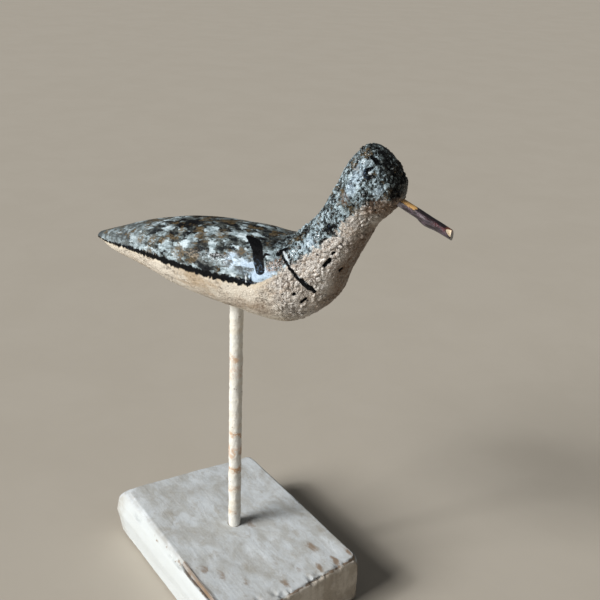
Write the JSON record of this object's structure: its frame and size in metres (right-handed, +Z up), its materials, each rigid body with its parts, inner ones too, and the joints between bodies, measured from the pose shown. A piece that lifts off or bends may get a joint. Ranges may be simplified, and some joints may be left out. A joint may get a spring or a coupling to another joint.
{
  "type": "shorebird decoy on stand",
  "caption": "Carved and painted wooden shorebird decoy with a drooping twig bill, held on a painted rod in a rough, whitewashed wooden block.",
  "frame": {"origin": "on the flat underside of the block, near its middle, 2 mm in front of the rod's axis", "axes": "+X the way the bird faces, +Y to its left, +Z up"},
  "size_m": [0.1888, 0.1288, 0.253],
  "materials": {
    "block": "rough sawn wood, thin whitewash worn to brown wood at the edges and ends",
    "rod": "thick white paint, satin, with brown streaks",
    "carving": "mottled blue-grey, white and black paint above, cream below, satin varnish",
    "twig": "purple-brown bark, satin, pale cut end"
  },
  "bodies": {
    "root": {"stand_base": "block", "stand_rod": "rod", "bird_carving": "carving", "bill_twig": "twig"}
  },
  "joints": []
}
